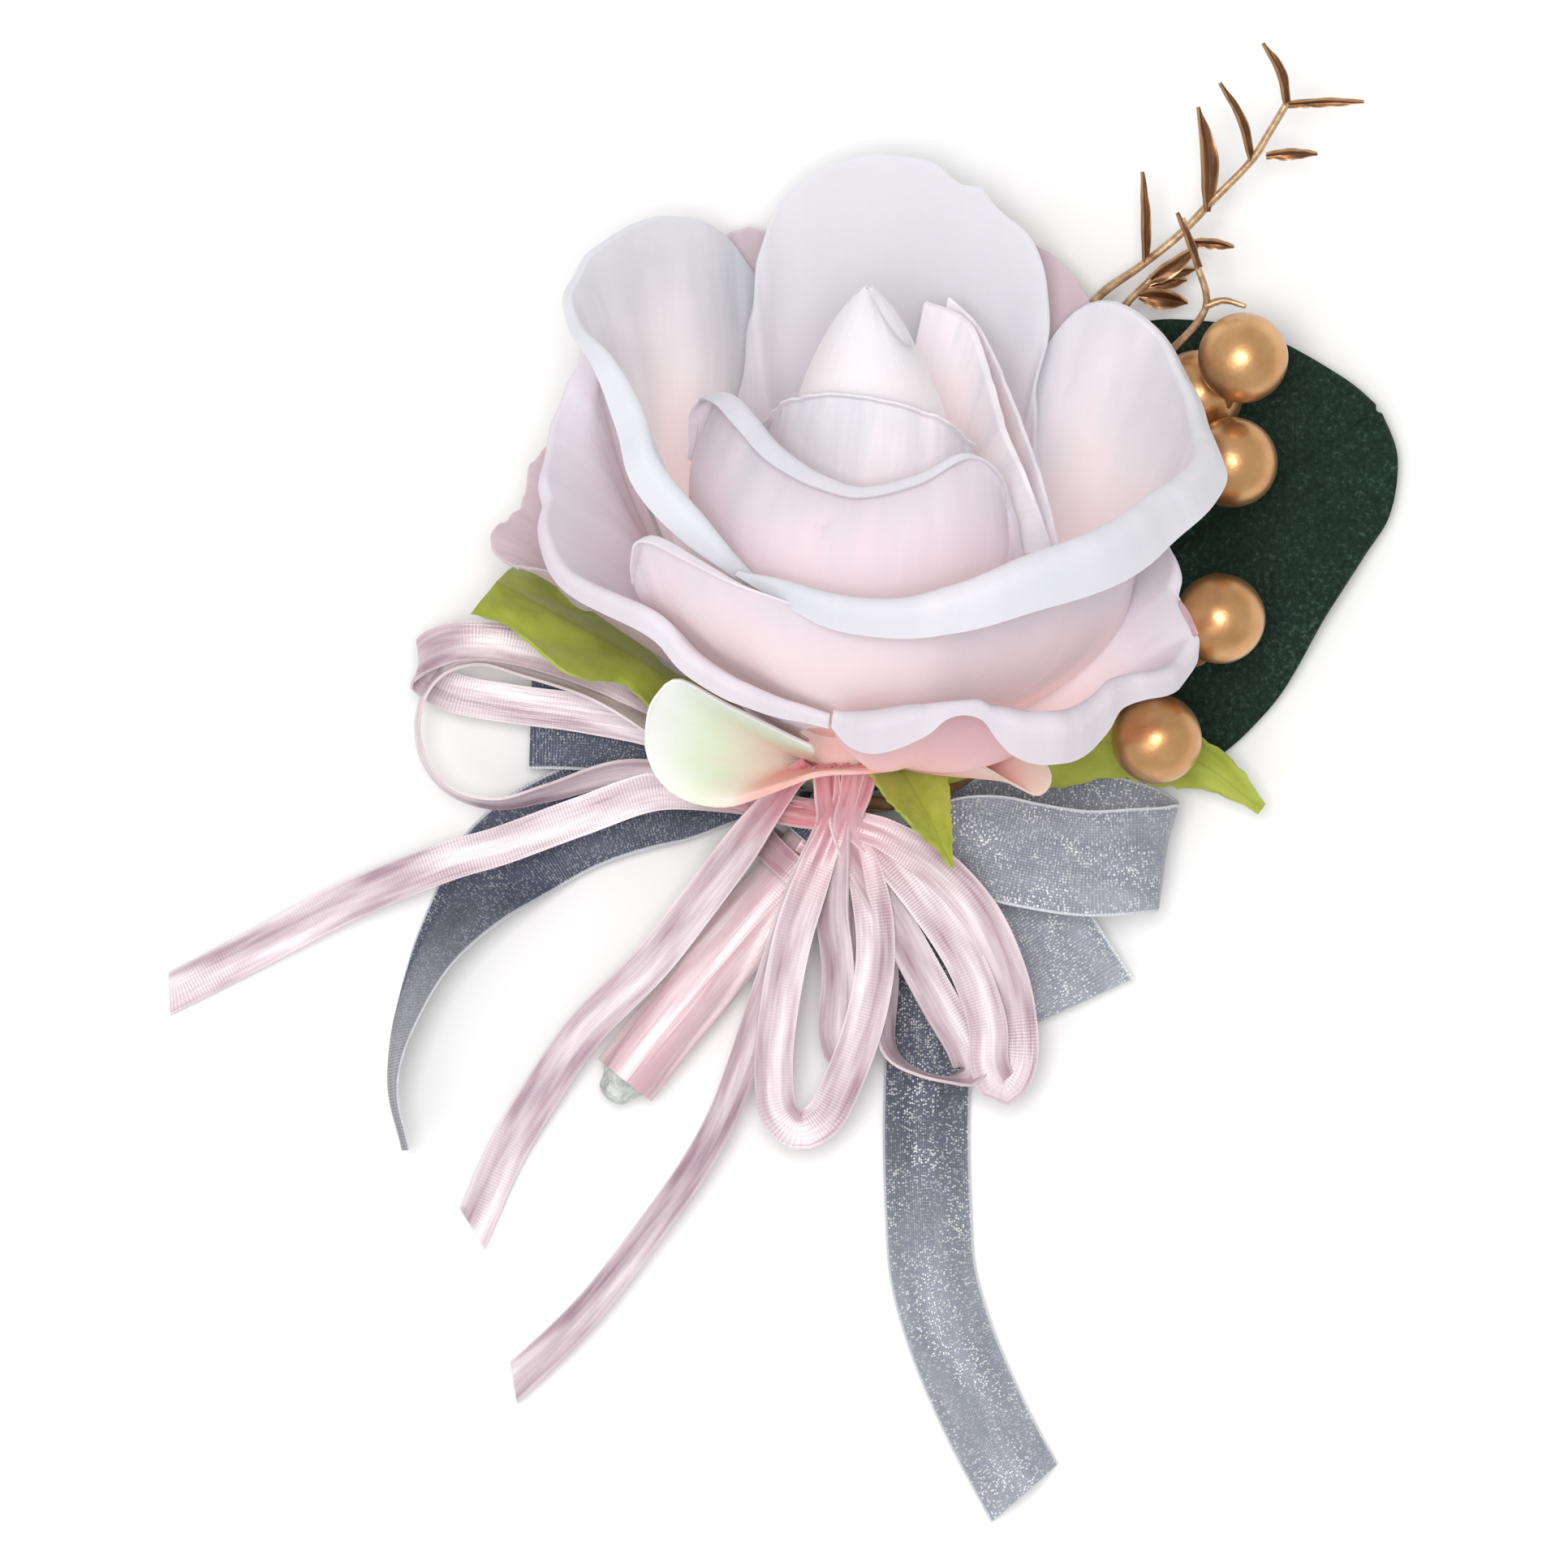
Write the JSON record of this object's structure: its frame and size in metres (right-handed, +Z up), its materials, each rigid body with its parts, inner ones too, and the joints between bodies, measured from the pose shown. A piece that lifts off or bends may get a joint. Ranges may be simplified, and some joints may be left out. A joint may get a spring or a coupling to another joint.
{
  "type": "boutonniere",
  "caption": "Silk rose boutonniere lying flat, with a satin-wrapped stem, satin and organza bows, a velvet leaf, pearl berries and gold sprigs.",
  "frame": {"origin": "centre of the bounding box across X and Y, on the surface that the piece lies on (z = 0)", "axes": "+Z up from the surface to the viewer; +Y runs from the cut stem end towards the top of the rose and the sprigs; +X to the leaf and berries"},
  "size_m": [0.109, 0.131, 0.0483],
  "materials": {
    "bloom_petals": "matt pale pink silk, deeper pink in the folds",
    "calyx_green": "matt yellow-green silk with frayed cut edges",
    "stem_plastic": "green plastic coating over wire",
    "floral_tape": "grey-white waxed paper tape",
    "wrap_satin": "satin ribbon wound in overlapping turns",
    "bow_satin": "glossy pale pink satin ribbon",
    "bow_organza": "sheer silver-grey organza with fine glitter and white selvages",
    "leaf_velvet": "dark green velvet, finely speckled",
    "berry_pearl": "pearl lacquer, gold to bronze",
    "sprig_gold_tall": "antique gold, brighter on the edges",
    "sprig_gold_short": "antique gold, brighter on the edges"
  },
  "bodies": {
    "root": {"rose_bloom": "bloom_petals", "rose_calyx": "calyx_green", "rose_stem": "stem_plastic", "stem_bundle": "floral_tape", "stem_wrap": "wrap_satin", "satin_bow": "bow_satin", "organza_bow": "bow_organza", "green_leaf": "leaf_velvet", "berry_spray": "berry_pearl", "gold_sprig_tall": "sprig_gold_tall", "gold_sprig_short": "sprig_gold_short"}
  },
  "joints": []
}
